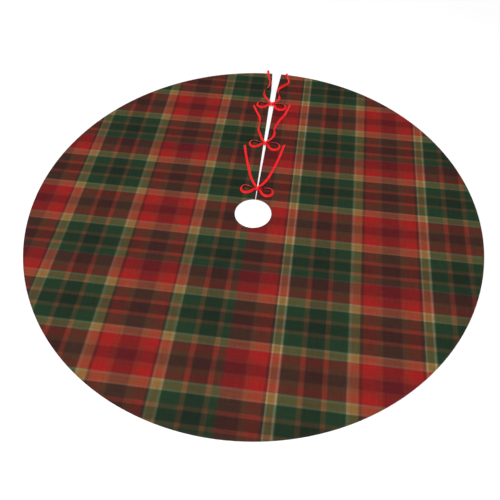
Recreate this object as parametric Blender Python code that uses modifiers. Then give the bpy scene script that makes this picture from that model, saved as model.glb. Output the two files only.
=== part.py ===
"""A round tree skirt: a plaid face and a plain lining, with a hole for the trunk and a
slit from the hole to the outer edge. Three pairs of ribbon ties close the slit, each
pair tied in a bow.

Frame: the origin is on the floor at the centre of the trunk hole, +Z is up, and the
slit runs out along +Y. The skirt lies flat. It folds along the X axis, so the front
half (-Y) is one rigid body and the back half, with the slit and the bows, is the other.
"""

import math

import bpy

# Sizes in metres.
SKIRT_RADIUS = 0.610
TRUNK_HOLE_RADIUS = 0.050
FACE_THICKNESS = 0.0008
LINING_THICKNESS = 0.0006
CLEARANCE = 0.0003  # between pieces that touch on the real skirt
OUTER_ARC_STEPS = 48  # straight edges in half of the outer circle
HOLE_ARC_STEPS = 24  # straight edges in half of the trunk hole

# The slit's full width where it leaves the hole, under each bow, where it starts to
# flare, and at the outer edge.
SLIT_AT_HOLE = 0.002
SLIT_AT_BOWS = (0.003, 0.0085, 0.015)
SLIT_AT_FLARE = 0.0175
SLIT_AT_EDGE = 0.030
FLARE_INSET = 0.090  # how far in from the outer edge the flare starts

# The storage fold.
FOLD_AXIS_LIFT = 0.001  # the fold's axis above the face, so the fold is a soft roll

# Ribbons.
RIBBON_WIDTH = 0.007
RIBBON_THICKNESS = 0.0004
RIBBON_STEP = 0.005  # spacing of a ribbon's cross-sections
BOW_PLACES = (0.087, 0.270, 0.450)  # each knot's distance from the hole's centre
KNOT_SIZE = (0.011, 0.012, 0.0055)
KNOT_ROUNDING = 0.0018
STUB_REACH = 0.014  # from the slit's middle to a tie's sewn end
LOOP_LEAN = 52.0  # degrees from upright; a loop's band leans in towards its middle
ROOT_PINCH = 0.45  # share of its width that a ribbon keeps where it enters the knot
TACK_SIZE = (0.0015, 0.006, 0.0004)
TACK_INSET = 0.0015  # from a tie's sewn end to its bar tack

# Heights of the stacked layers.
LINING_TOP = LINING_THICKNESS
FACE_BOTTOM = LINING_TOP + CLEARANCE
FACE_TOP = FACE_BOTTOM + FACE_THICKNESS
STUB_BOTTOM = FACE_TOP + CLEARANCE
STUB_TOP = STUB_BOTTOM + RIBBON_THICKNESS
KNOT_BOTTOM = STUB_TOP + CLEARANCE
FOLD_AXIS_HEIGHT = FACE_TOP + FOLD_AXIS_LIFT

# Ribbon routes. Each point is (x, y) in millimetres from where the ribbon leaves its
# knot, its lean in degrees from upright (90 lies flat), its lift off the face in
# millimetres, and the share of the full width that shows. A loop leaves the middle of
# its knot's side, and a tail leaves the middle of the knot's far face. They were set by
# eye, point by point, to follow the uneven curves of hand-tied bows.
ROOT_LIFT = 1.1
LEFT_LOOP = (
    (-0.1, -2.6, 10, ROOT_LIFT, ROOT_PINCH),
    (-3.7, -5.0, 30, ROOT_LIFT, 0.7),
    (-10.0, -10.0, LOOP_LEAN, 0.7, 1.0),
    (-18.6, -15.2, LOOP_LEAN, 0.0, 1.0),
    (-27.6, -16.6, LOOP_LEAN, 0.0, 1.0),
    (-35.2, -12.8, LOOP_LEAN, 0.0, 1.0),
    (-39.0, -5.2, LOOP_LEAN, 0.0, 1.0),
    (-38.4, 3.0, LOOP_LEAN, 0.0, 1.0),
    (-33.2, 9.4, LOOP_LEAN, 0.0, 1.0),
    (-25.4, 10.6, LOOP_LEAN, 0.0, 1.0),
    (-16.7, 7.8, LOOP_LEAN, 0.3, 1.0),
    (-7.7, 4.2, 30, ROOT_LIFT, 0.7),
    (-0.1, 1.0, 10, ROOT_LIFT, ROOT_PINCH),
)
RIGHT_LOOP = (
    (0.1, -2.6, 10, ROOT_LIFT, ROOT_PINCH),
    (3.3, -7.0, 30, ROOT_LIFT, 0.7),
    (8.2, -14.0, LOOP_LEAN, 0.7, 1.0),
    (14.7, -20.2, LOOP_LEAN, 0.0, 1.0),
    (23.2, -23.0, LOOP_LEAN, 0.0, 1.0),
    (31.7, -20.8, LOOP_LEAN, 0.0, 1.0),
    (37.9, -14.2, LOOP_LEAN, 0.0, 1.0),
    (39.3, -5.6, LOOP_LEAN, 0.0, 1.0),
    (35.3, 2.8, LOOP_LEAN, 0.0, 1.0),
    (27.3, 6.6, LOOP_LEAN, 0.0, 1.0),
    (17.7, 5.8, LOOP_LEAN, 0.3, 1.0),
    (8.3, 3.6, 30, ROOT_LIFT, 0.7),
    (0.1, 1.0, 10, ROOT_LIFT, ROOT_PINCH),
)
LEFT_TAILS = (
    (
        (-3.1, 0.1, 85, 2.0, 0.5),
        (-3.4, 2.5, 88, 1.6, 0.7),
        (-6.6, 6.7, 90, 1.0, 1.0),
        (-21.5, 33.7, 90, 0.0, 1.0),
        (-32.5, 65.7, 90, 0.0, 1.0),
        (-44.5, 105.7, 90, 0.0, 1.0),
        (-52.5, 135.7, 90, 0.0, 1.0),
        (-59.0, 164.7, 90, 0.0, 1.0),
    ),
    (
        (-3.1, 0.1, 85, 2.0, 0.5),
        (-3.4, 2.5, 88, 1.6, 0.7),
        (-6.6, 6.7, 90, 1.0, 1.0),
        (-20.0, 35.7, 90, 0.0, 1.0),
        (-26.5, 53.7, 60, 0.0, 1.0),
        (-25.5, 78.7, 32, 0.0, 1.0),
        (-30.0, 108.7, 66, 0.0, 1.0),
        (-40.0, 130.7, 90, 0.0, 1.0),
        (-56.0, 163.7, 90, 0.0, 1.0),
    ),
    (
        (-3.1, 0.1, 85, 2.0, 0.5),
        (-3.4, 2.5, 88, 1.6, 0.7),
        (-7.0, 6.2, 90, 1.0, 1.0),
        (-18.0, 20.7, 90, 0.0, 1.0),
        (-29.5, 41.7, 42, 0.0, 1.0),
        (-29.0, 59.7, 30, 0.0, 1.0),
        (-19.0, 80.7, 58, 0.0, 1.0),
        (-17.5, 103.7, 45, 0.0, 1.0),
        (-24.0, 131.7, 60, 0.0, 1.0),
        (-31.5, 167.7, 90, 0.0, 1.0),
    ),
)
RIGHT_TAILS = (
    (
        (3.1, 0.1, 85, 2.0, 0.5),
        (3.4, 2.5, 88, 1.6, 0.7),
        (7.0, 6.7, 90, 1.0, 1.0),
        (23.0, 32.7, 90, 0.0, 1.0),
        (32.5, 61.7, 90, 0.0, 1.0),
        (41.5, 93.7, 90, 0.0, 1.0),
        (49.0, 126.7, 90, 0.0, 1.0),
        (55.0, 160.7, 90, 0.0, 1.0),
        (58.5, 180.7, 90, 0.0, 1.0),
    ),
    (
        (3.1, 0.1, 85, 2.0, 0.5),
        (3.4, 2.5, 88, 1.6, 0.7),
        (7.0, 6.7, 90, 1.0, 1.0),
        (22.0, 30.7, 90, 0.0, 1.0),
        (23.8, 44.7, 68, 0.0, 1.0),
        (21.3, 58.7, 46, 0.0, 1.0),
        (25.0, 75.7, 52, 0.0, 1.0),
        (34.5, 103.7, 62, 0.0, 1.0),
        (46.5, 131.7, 75, 0.0, 1.0),
        (53.0, 155.7, 90, 0.0, 1.0),
        (58.5, 180.7, 90, 0.0, 1.0),
    ),
    (
        (3.1, 0.1, 85, 2.0, 0.5),
        (3.4, 2.5, 88, 1.6, 0.7),
        (7.6, 5.7, 90, 1.0, 1.0),
        (21.0, 24.7, 85, 0.0, 1.0),
        (19.5, 41.7, 32, 0.0, 1.0),
        (12.5, 57.7, 32, 0.0, 1.0),
        (15.5, 73.7, 60, 0.0, 1.0),
        (34.0, 94.7, 36, 0.0, 1.0),
        (44.0, 107.7, 55, 0.0, 1.0),
        (41.0, 129.7, 80, 0.0, 1.0),
        (32.0, 158.7, 90, 0.0, 1.0),
    ),
)
BOW_NAMES = ("inner", "middle", "outer")


def remove_scene_objects():
    for obj in list(bpy.data.objects):
        bpy.data.objects.remove(obj, do_unlink=True)


def make_material(name, colour, roughness):
    material = bpy.data.materials.new(name)
    material.use_nodes = True
    shader = material.node_tree.nodes["Principled BSDF"]
    shader.inputs["Base Color"].default_value = (*colour, 1.0)
    shader.inputs["Roughness"].default_value = roughness
    shader.inputs["Metallic"].default_value = 0.0
    material.diffuse_color = (*colour, 1.0)
    return material


def add_object(name, data, material, collection, body):
    """Put new object data in the skirt's collection, parented to its body's empty."""
    obj = bpy.data.objects.new(name, data)
    data.materials.append(material)
    collection.objects.link(obj)
    obj.parent = body
    obj.matrix_parent_inverse = body.matrix_world.inverted()
    return obj


def make_body(name, height, collection):
    """An empty that carries one rigid body; the folding one sits on the fold's axis."""
    body = bpy.data.objects.new(name, None)
    body.empty_display_size = TRUNK_HOLE_RADIUS
    body.location = (0.0, 0.0, height)
    body.matrix_world = body.matrix_basis
    collection.objects.link(body)
    return body


# Fabric panels


def arc(radius, start, end, steps):
    """Points on a circle about the origin, from one angle to another, in radians."""
    turn = (end - start) / steps
    return [
        (radius * math.cos(start + turn * i), radius * math.sin(start + turn * i))
        for i in range(steps + 1)
    ]


def slit_widths():
    """(distance from the centre, full width) of the slit, from the hole outwards."""
    places = [
        (TRUNK_HOLE_RADIUS, SLIT_AT_HOLE),
        *zip(BOW_PLACES, SLIT_AT_BOWS),
        (SKIRT_RADIUS - FLARE_INSET, SLIT_AT_FLARE),
        (SKIRT_RADIUS, SLIT_AT_EDGE),
    ]
    return sorted(places)


def front_outline():
    """The half annulus in front of the fold."""
    edge = -CLEARANCE / 2
    outer = math.asin(edge / SKIRT_RADIUS)
    inner = math.asin(edge / TRUNK_HOLE_RADIUS)
    return arc(SKIRT_RADIUS, -math.pi - outer, outer, OUTER_ARC_STEPS) + arc(
        TRUNK_HOLE_RADIUS, inner, -math.pi - inner, HOLE_ARC_STEPS
    )


def right_flap_outline():
    """The quarter annulus behind the fold and right of the slit."""
    edge = CLEARANCE / 2
    outer_low = math.asin(edge / SKIRT_RADIUS)
    outer_high = math.acos(SLIT_AT_EDGE / 2 / SKIRT_RADIUS)
    inner_low = math.asin(edge / TRUNK_HOLE_RADIUS)
    inner_high = math.acos(SLIT_AT_HOLE / 2 / TRUNK_HOLE_RADIUS)
    slit = [(width / 2, distance) for distance, width in slit_widths()[1:-1]]
    return (
        arc(SKIRT_RADIUS, outer_low, outer_high, OUTER_ARC_STEPS // 2)
        + slit[::-1]
        + arc(TRUNK_HOLE_RADIUS, inner_high, inner_low, HOLE_ARC_STEPS // 2)
    )


def mirrored(outline):
    return [(-x, y) for x, y in reversed(outline)]


def make_panel(name, outline, bottom, thickness, material, collection, body):
    """A flat piece of cloth: a filled outline, extruded by half its thickness each way."""
    curve = bpy.data.curves.new(name, "CURVE")
    curve.dimensions = "2D"
    curve.fill_mode = "BOTH"
    curve.extrude = thickness / 2
    spline = curve.splines.new("POLY")
    spline.points.add(len(outline) - 1)
    for point, (x, y) in zip(spline.points, outline):
        point.co = (x, y, 0.0, 1.0)
    spline.use_cyclic_u = True
    panel = add_object(name, curve, material, collection, body)
    panel.location = (0.0, 0.0, bottom + thickness / 2)
    return panel


# Ribbons


def smooth_route(route):
    """Catmull-Rom points through a route, about RIBBON_STEP apart, in metres and radians."""
    rows = [
        (x / 1000, y / 1000, math.radians(lean), lift / 1000, share)
        for x, y, lean, lift, share in route
    ]
    padded = [rows[0], *rows, rows[-1]]
    points = []
    for before, start, end, after in zip(padded, padded[1:], padded[2:], padded[3:]):
        span = math.hypot(end[0] - start[0], end[1] - start[1])
        steps = max(1, round(span / RIBBON_STEP))
        for i in range(steps):
            points.append(spline_point(before, start, end, after, i / steps))
    return points + [rows[-1]]


def spline_point(before, start, end, after, t):
    return tuple(
        0.5
        * (
            2 * b
            + (c - a) * t
            + (2 * a - 5 * b + 4 * c - d) * t**2
            + (3 * b - a - 3 * c + d) * t**3
        )
        for a, b, c, d in zip(before, start, end, after)
    )


def make_ribbon(name, route, side, start, material, collection, body):
    """A flat ribbon that follows a route, resting its lower edge on the face.

    side is 1 or -1, for which way the band leans as the route runs. start is the place
    on the knot that the route is measured from.
    """
    curve = bpy.data.curves.new(name, "CURVE")
    curve.dimensions = "3D"
    curve.twist_mode = "Z_UP"
    curve.extrude = RIBBON_WIDTH / 2
    points = smooth_route(route)
    spline = curve.splines.new("POLY")
    spline.points.add(len(points) - 1)
    for point, (x, y, lean, lift, share) in zip(spline.points, points):
        rise = share * RIBBON_WIDTH / 2 * math.cos(lean)
        rise += RIBBON_THICKNESS / 2 * math.sin(lean)
        point.co = (x, y, rise + lift, 1.0)
        point.tilt = side * lean
        point.radius = share
    ribbon = add_object(name, curve, material, collection, body)
    ribbon.location = (*start, FACE_TOP + CLEARANCE)
    thickness = ribbon.modifiers.new("Thickness", "SOLIDIFY")
    thickness.thickness = RIBBON_THICKNESS
    thickness.offset = 0.0
    return ribbon


def make_block(name, size, centre, material, collection, body, rounding=0.0):
    """A box, scaled in its mesh, with its edges rounded if asked."""
    bpy.ops.mesh.primitive_cube_add(size=1.0)
    block = bpy.context.object
    block.name = name
    for vertex in block.data.vertices:
        vertex.co = [co * side for co, side in zip(vertex.co, size)]
    block.data.materials.append(material)
    for owner in list(block.users_collection):
        owner.objects.unlink(block)
    collection.objects.link(block)
    block.location = centre
    block.parent = body
    block.matrix_parent_inverse = body.matrix_world.inverted()
    if rounding:
        bevel = block.modifiers.new("Rounding", "BEVEL")
        bevel.width = rounding
        bevel.segments = 3
    return block


def make_stub(name, side, place, material, collection, body):
    """The flat start of a tie: sewn down beside the slit, then across it to the knot."""
    length = STUB_REACH - CLEARANCE / 2
    centre = (side * (STUB_REACH + CLEARANCE / 2) / 2, place, (STUB_BOTTOM + STUB_TOP) / 2)
    size = (length, RIBBON_WIDTH, RIBBON_THICKNESS)
    return make_block(name, size, centre, material, collection, body)


def make_tack(name, side, place, material, collection, body):
    """The bar tack through a tie's sewn end, a short raised bar of thread."""
    x = side * (STUB_REACH - TACK_INSET)
    z = STUB_TOP + CLEARANCE + TACK_SIZE[2] / 2
    return make_block(name, TACK_SIZE, (x, place, z), material, collection, body)


def make_bow(number, satin, thread, collection, body):
    """One tied pair: two sewn stubs and their tacks, the knot, two loops and two tails."""
    label = BOW_NAMES[number]
    place = BOW_PLACES[number]
    parts = (satin, collection, body)
    beside_knot = KNOT_SIZE[0] / 2 + CLEARANCE
    beyond_knot = (0.0, place + KNOT_SIZE[1] / 2 + CLEARANCE)
    knot_centre = (0.0, place, KNOT_BOTTOM + KNOT_SIZE[2] / 2)
    make_block(f"{label}_knot", KNOT_SIZE, knot_centre, *parts, rounding=KNOT_ROUNDING)
    make_stub(f"{label}_left_stub", -1, place, *parts)
    make_stub(f"{label}_right_stub", 1, place, *parts)
    make_tack(f"{label}_left_tack", -1, place, thread, collection, body)
    make_tack(f"{label}_right_tack", 1, place, thread, collection, body)
    make_ribbon(f"{label}_left_loop", LEFT_LOOP, 1, (-beside_knot, place), *parts)
    make_ribbon(f"{label}_right_loop", RIGHT_LOOP, -1, (beside_knot, place), *parts)
    make_ribbon(f"{label}_left_tail", LEFT_TAILS[number], 1, beyond_knot, *parts)
    make_ribbon(f"{label}_right_tail", RIGHT_TAILS[number], -1, beyond_knot, *parts)


def make_fabric(front, back, collection):
    """The face and the lining, each cut at the fold and at the slit."""
    face = make_material("plaid_face", (0.09, 0.04, 0.03), 0.85)
    lining = make_material("lining", (0.78, 0.76, 0.72), 0.8)
    flap = right_flap_outline()
    layers = (
        ("lining", 0.0, LINING_THICKNESS, lining),
        ("face", FACE_BOTTOM, FACE_THICKNESS, face),
    )
    for name, bottom, thickness, material in layers:
        layer = (bottom, thickness, material, collection)
        make_panel(f"{name}_front", front_outline(), *layer, front)
        make_panel(f"{name}_back_left", mirrored(flap), *layer, back)
        make_panel(f"{name}_back_right", flap, *layer, back)


def main():
    remove_scene_objects()
    collection = bpy.data.collections.new("tree_skirt")
    bpy.context.scene.collection.children.link(collection)
    front = make_body("front_half", 0.0, collection)
    back = make_body("back_half", FOLD_AXIS_HEIGHT, collection)
    make_fabric(front, back, collection)
    satin = make_material("satin_ribbon", (0.84, 0.012, 0.018), 0.35)
    thread = make_material("thread", (0.6, 0.02, 0.02), 0.7)
    for number in range(len(BOW_PLACES)):
        make_bow(number, satin, thread, collection, back)


main()
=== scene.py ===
# %% [markdown]
# # A plaid tree skirt, in cells
#
# A tree skirt is a round cloth that lies on the floor under a tree. This one has a
# printed plaid face, a plain lining, a hole for the trunk, and a slit from the hole to
# the edge that three ribbon bows hold shut.
#
# The sizes come from a CAD model of the same skirt, which is loaded first. Its solids
# are plain, so each cloth and each ribbon is made again here as what it is, and the
# ribbons ride on the CAD body that carries them. The front half is one body and the back
# half, with the bows, is another. They fold together along the X axis.

# %% Load the CAD frame
import math

import bmesh
import bpy
from mathutils import Matrix, Vector, noise


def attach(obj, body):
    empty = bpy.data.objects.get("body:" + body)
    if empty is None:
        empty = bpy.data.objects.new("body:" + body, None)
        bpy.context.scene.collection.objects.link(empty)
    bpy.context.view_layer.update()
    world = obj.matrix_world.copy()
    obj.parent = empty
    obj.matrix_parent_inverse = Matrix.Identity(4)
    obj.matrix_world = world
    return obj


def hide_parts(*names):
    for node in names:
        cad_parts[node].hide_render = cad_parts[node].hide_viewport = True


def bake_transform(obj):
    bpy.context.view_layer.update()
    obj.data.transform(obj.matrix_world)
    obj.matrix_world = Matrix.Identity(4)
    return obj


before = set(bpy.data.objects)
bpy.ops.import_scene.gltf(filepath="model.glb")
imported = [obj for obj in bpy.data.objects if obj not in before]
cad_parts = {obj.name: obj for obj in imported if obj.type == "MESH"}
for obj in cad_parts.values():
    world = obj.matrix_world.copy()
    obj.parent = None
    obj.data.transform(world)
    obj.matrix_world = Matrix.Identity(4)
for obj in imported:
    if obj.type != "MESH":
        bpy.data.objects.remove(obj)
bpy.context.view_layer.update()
MM = 0.001

# %% [markdown]
# ## The camera
#
# The skirt is seen from the front and above, a little from the right, with a lens a bit
# longer than a normal one. A camera can be aimed with a constraint, but a matrix built
# from three directions is exact and can also hold the slight tilt of a hand-held shot.

# %% Camera
CAMERA_LENS = 39.08
CAMERA_DISTANCE = 1.4078
CAMERA_ELEVATION = math.radians(54.57)
CAMERA_AZIMUTH = math.radians(8.12)
CAMERA_TILT = math.radians(-0.47)
CAMERA_TARGET = Vector((0.0083, -0.1220, 0.0005))


def add_object(name, data):
    made = bpy.data.objects.new(name, data)
    bpy.context.scene.collection.objects.link(made)
    return made


def make_camera():
    """A camera on a sphere round its target, turned a little about its own view line."""
    flat, rise = math.cos(CAMERA_ELEVATION), math.sin(CAMERA_ELEVATION)
    aside, ahead = math.sin(CAMERA_AZIMUTH), math.cos(CAMERA_AZIMUTH)
    back = Vector((aside * flat, -ahead * flat, rise))
    right = Vector((ahead, aside, 0.0))
    up = back.cross(right)
    tilted_right = right * math.cos(CAMERA_TILT) + up * math.sin(CAMERA_TILT)
    tilted_up = up * math.cos(CAMERA_TILT) - right * math.sin(CAMERA_TILT)
    axes = Matrix((tilted_right, tilted_up, back)).transposed().to_4x4()
    camera = add_object("camera", bpy.data.cameras.new("camera"))
    camera.data.lens = CAMERA_LENS
    camera.data.sensor_width = 36.0
    camera.data.clip_start = 0.05
    camera.data.clip_end = 50.0
    camera.matrix_world = Matrix.Translation(CAMERA_TARGET + back * CAMERA_DISTANCE) @ axes
    bpy.context.scene.camera = camera
    return camera


camera = make_camera()
print("camera at", [round(x, 3) for x in camera.location])

# %% [markdown]
# ## The ribbon ties
#
# Each bow is tied from two ribbons, one sewn down on each side of the slit. A tie runs
# from its sewn end to the knot, makes one loop, goes back through the knot and ends in
# a loose tail. So a tie is a flat cord of satin ribbon 7 mm wide.
#
# A curve with a bevel could carry the ribbon, but a curve turns its profile by itself
# and is hard to lean by hand. Here the route is a short list of stations. Each one says
# where the middle of the ribbon is, which way its width points, and how much the ribbon
# is gathered. A smooth line through the stations is then covered with a thin band.

# %% Ribbon sizes
RIBBON_WIDTH = 7.0 * MM
RIBBON_THICKNESS = 0.4 * MM
RIBBON_REST = 2.0 * MM  # height of the underside of a ribbon that lies on the face
SEWN_END = 14.0 * MM  # from the middle of the slit
KNOT_SIZE = Vector((11.0, 12.0, 5.5)) * MM
KNOT_BOTTOM = 2.7 * MM
BESIDE_KNOT = KNOT_SIZE.x / 2 + 0.3 * MM
BEYOND_KNOT = KNOT_SIZE.y / 2 + 0.3 * MM
BOWS = {"inner": 87.0 * MM, "middle": 270.0 * MM, "outer": 450.0 * MM}
SIDES = {"left": -1, "right": 1}

# %% [markdown]
# ### The routes
#
# Each row starts with (x, y) in millimetres from where the ribbon leaves the knot. Then
# come its lean in degrees from upright (90 if it isn't given), its lift off the cloth in
# millimetres (0), and the share of its width that is left after gathering (1). A loop
# leans inwards by 52 degrees, as a soft loop that has slumped does. A tail lies flat,
# but the middle and the outer tails roll onto their edge where they turn.

# %% Routes of the loops and tails
LOOPS = {
    "left": (
        (-0.1, -2.6, 18, 1.0, 0.72), (-3.7, -5.0, 34, 1.0, 0.88), (-10.0, -10.0, 52, 0.7),
        (-18.6, -15.2, 52), (-27.6, -16.6, 52), (-35.2, -12.8, 52), (-39.0, -5.2, 52),
        (-38.4, 3.0, 52), (-33.2, 9.4, 52), (-25.4, 10.6, 52), (-16.7, 7.8, 52, 0.3),
        (-7.7, 4.2, 34, 0.8, 0.85), (-0.1, 1.0, 20, 1.1, 0.66),
    ),
    "right": (
        (0.1, -2.6, 18, 1.0, 0.72), (3.3, -7.0, 34, 1.0, 0.88), (8.2, -14.0, 52, 0.7),
        (14.7, -20.2, 52), (23.2, -23.0, 52), (31.7, -20.8, 52), (37.9, -14.2, 52),
        (39.3, -5.6, 52), (35.3, 2.8, 52), (27.3, 6.6, 52), (17.7, 5.8, 52, 0.3),
        (8.3, 3.6, 34, 0.8, 0.85), (0.1, 1.0, 20, 1.1, 0.66),
    ),
}
TAIL_ROOTS = {
    "left": ((-3.0, 0.1, 85, 2.4, 0.72), (-3.7, 2.5, 88, 1.9, 0.86)),
    "right": ((3.0, 0.1, 85, 2.4, 0.72), (3.7, 2.5, 88, 1.9, 0.86)),
}
TAILS = {
    ("inner", "left"): (
        (-6.6, 6.7, 90, 1.0), (-21.5, 33.7), (-32.5, 65.7), (-44.5, 105.7), (-52.5, 135.7),
        (-59.0, 164.7),
    ),
    ("inner", "right"): (
        (7.0, 6.7, 90, 1.0), (23.0, 32.7), (32.5, 61.7), (41.5, 93.7), (49.0, 126.7),
        (55.0, 160.7), (58.5, 180.7),
    ),
    ("middle", "left"): (
        (-6.6, 6.7, 90, 1.0), (-20.0, 35.7), (-26.5, 53.7, 60), (-25.5, 78.7, 32),
        (-30.0, 108.7, 66), (-40.0, 130.7), (-56.0, 163.7),
    ),
    ("middle", "right"): (
        (7.0, 6.7, 90, 1.0), (22.0, 30.7), (23.8, 44.7, 68), (21.3, 58.7, 46),
        (25.0, 75.7, 52), (34.5, 103.7, 62), (46.5, 131.7, 75), (53.0, 155.7),
        (58.5, 180.7),
    ),
    ("outer", "left"): (
        (-7.0, 6.2, 90, 1.0), (-18.0, 20.7), (-29.5, 41.7, 42), (-29.0, 59.7, 30),
        (-19.0, 80.7, 58), (-17.5, 103.7, 45), (-24.0, 131.7, 60), (-31.5, 167.7),
    ),
    ("outer", "right"): (
        (7.6, 5.7, 90, 1.0), (21.0, 24.7, 85), (19.5, 41.7, 32), (12.5, 57.7, 32),
        (15.5, 73.7, 60), (34.0, 94.7, 36), (44.0, 107.7, 55), (41.0, 129.7, 80),
        (32.0, 158.7),
    ),
}

# %% [markdown]
# ### From a route to stations
#
# A leaning ribbon rests on its lower edge, so its middle is half a width up the slope.
# The width points up and towards the inside of the loop. Inside the knot the ribbon has
# no route of its own, so a few stations carry it round: the sewn end runs flat to the
# knot, folds back up and leaves as the front of the loop. The back of the loop comes
# in, turns and leaves as the tail.

# %% Stations along one tie
UP = Vector((0.0, 0.0, 1.0))


def full_row(x, y, lean=90, lift=0.0, share=1.0):
    """One row of a route in metres and radians, with its usual values filled in."""
    return Vector((x, y, 0.0)) * MM, math.radians(lean), lift * MM, share


def route_stations(route, start, turn):
    """(middle, width direction, share) for each row. turn is 1 if the ribbon leans to
    the right of the way it runs, and -1 if it leans to the left."""
    rows = [full_row(*row) for row in route]
    stations = []
    for i, (flat, lean, lift, share) in enumerate(rows):
        ahead = rows[min(i + 1, len(rows) - 1)][0] - rows[max(i - 1, 0)][0]
        ahead.normalize()
        rise = share * RIBBON_WIDTH / 2 * math.cos(lean)
        rise += RIBBON_THICKNESS / 2 * math.sin(lean)
        middle = start + flat + UP * (RIBBON_REST + lift + rise)
        width = UP * math.cos(lean) + ahead.cross(UP) * turn * math.sin(lean)
        stations.append((middle, width, share))
    return stations


def sewn_stations(side, place):
    """From the sewn end to the fold inside the knot, lying flat."""
    height = RIBBON_REST + RIBBON_THICKNESS / 2
    width = Vector((0.0, side, 0.0))
    rows = (
        (SEWN_END, 0.0, height, 1.0),
        (SEWN_END - 4 * MM, 0.0, height, 1.0),
        (SEWN_END - 8 * MM, 0.0, height, 0.95),
        (3.2 * MM, -0.2 * MM, height + 0.25 * MM, 0.7),
        (1.2 * MM, -0.9 * MM, height + 1.4 * MM, 0.5),
        (2.2 * MM, -1.8 * MM, height + 2.9 * MM, 0.45),
    )
    return [(Vector((side * x, place + y, z)), width, share) for x, y, z, share in rows]


def turning_stations(side, place):
    """Through the knot, from the back of the loop to the tail."""
    rows = (
        ((2.9, 0.8, 5.2), (0.1, 0.25, 1.0), 0.45),
        ((2.0, 2.4, 5.0), (-0.5, 0.3, 0.9), 0.45),
        ((2.4, 4.4, 4.6), (-0.9, 0.1, 0.5), 0.45),
    )
    made = []
    for (x, y, z), (wx, wy, wz), share in rows:
        middle = Vector((side * x * MM, place + y * MM, z * MM))
        made.append((middle, Vector((side * wx, wy, wz)).normalized(), share))
    return made


def tie_stations(bow, side_name):
    side = SIDES[side_name]
    place = BOWS[bow]
    beside = Vector((side * BESIDE_KNOT, place, 0.0))
    beyond = Vector((0.0, place + BEYOND_KNOT, 0.0))
    tail = TAIL_ROOTS[side_name] + TAILS[bow, side_name]
    return (
        sewn_stations(side, place)
        + route_stations(LOOPS[side_name], beside, -side)
        + turning_stations(side, place)
        + route_stations(tail, beyond, -side)
    )


print("stations on one tie:", len(tie_stations("inner", "left")))

# %% [markdown]
# ### A smooth line through the stations
#
# A cubic through unevenly spaced points bulges unless its slopes allow for the spacing.
# So the slope at each station is a mean of the two sides, weighted by distance. The
# width direction is smoothed in the same way, and then turned square to the line.

# %% Smooth line
LINE_STEP = 1.6 * MM


def slopes(rows, spans):
    """The slope of every number at every row, per metre of line."""
    steps = [
        [(b - a) / span for a, b in zip(row, after)]
        for row, after, span in zip(rows, rows[1:], spans)
    ]
    found = [steps[0]]
    for i in range(1, len(steps)):
        near, far = spans[i - 1], spans[i]
        weight = far / (near + far)
        found.append([a * weight + b * (1 - weight) for a, b in zip(steps[i - 1], steps[i])])
    return found + [steps[-1]]


def hermite(start, end, slope_start, slope_end, span, t):
    a = (1 + 2 * t) * (1 - t) ** 2
    b = t * (1 - t) ** 2 * span
    c = t * t * (3 - 2 * t)
    d = -t * t * (1 - t) * span
    numbers = zip(start, slope_start, end, slope_end)
    return [a * p + b * m + c * q + d * n for p, m, q, n in numbers]


def smooth_line(stations):
    """Points along the tie: (middle, way it runs, width direction, share, distance)."""
    rows = [[*middle, *width, share] for middle, width, share in stations]
    spans = [(Vector(b[:3]) - Vector(a[:3])).length for a, b in zip(rows, rows[1:])]
    slope = slopes(rows, spans)
    fine = []
    for i, span in enumerate(spans):
        count = max(1, round(span / LINE_STEP))
        for k in range(count):
            pair = (rows[i], rows[i + 1], slope[i], slope[i + 1])
            fine.append(hermite(*pair, span, k / count))
    fine.append(rows[-1])
    middles = [Vector(row[:3]) for row in fine]
    line = []
    distance = 0.0
    for i, row in enumerate(fine):
        ahead = middles[min(i + 1, len(fine) - 1)] - middles[max(i - 1, 0)]
        ahead.normalize()
        width = Vector(row[3:6])
        width = (width - ahead * width.dot(ahead)).normalized()
        if i:
            distance += (middles[i] - middles[i - 1]).length
        line.append((middles[i], ahead, width, row[6], distance))
    return line


# %% [markdown]
# ### The band itself
#
# The ribbon's section is a thin closed band with firm woven edges. Where the ribbon is
# gathered, its width doesn't vanish: it goes into a small pleat, so the section waves
# more the narrower it gets. A tail is cut at a slant, so that it frays less.
#
# The band also gets a UV map in metres, with U along the ribbon and V across it. The
# satin's fine lines follow that map round every bend.

# %% Band along a line
ACROSS = (-1.0, -0.95, -0.85, -0.6, -0.3, 0.0, 0.3, 0.6, 0.85, 0.95, 1.0)
PLEAT_HEIGHT = 1.1 * MM
CUP = 0.22 * MM  # how far the middle of the band stands off a straight section
EDGE_BEAD = 1.12  # the woven edge is a little thicker than the rest
RIM = 0.35  # how thick the very edge is, next to the rest
END_SLANT = {"left": 0.45, "right": -0.9}
SLANT_LENGTH = 12.0 * MM
LOWEST = 1.78 * MM  # no part of a ribbon goes lower, so none cuts into the face


def section(share, u):
    """How far the middle surface stands off the band's plane, u across it from -1 to 1."""
    pleat = PLEAT_HEIGHT * (1.0 - share) * math.cos(2.5 * math.pi * u)
    return pleat + CUP * (1.0 - u * u)


def half_thickness(u):
    if abs(u) == 1.0:
        return RIBBON_THICKNESS / 2 * RIM
    if abs(u) > 0.9:
        return RIBBON_THICKNESS / 2 * EDGE_BEAD
    return RIBBON_THICKNESS / 2


def mesh_object(name, points, faces, uvs=None):
    """A new mesh at the origin. uvs has one (u, v) for each point."""
    mesh = bpy.data.meshes.new(name)
    mesh.from_pydata(points, [], faces)
    if uvs:
        layer = mesh.uv_layers.new(name="cloth")
        for loop in mesh.loops:
            layer.data[loop.index].uv = uvs[loop.vertex_index]
    mesh.polygons.foreach_set("use_smooth", [True] * len(mesh.polygons))
    mesh.update()
    return add_object(name, mesh)


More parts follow.
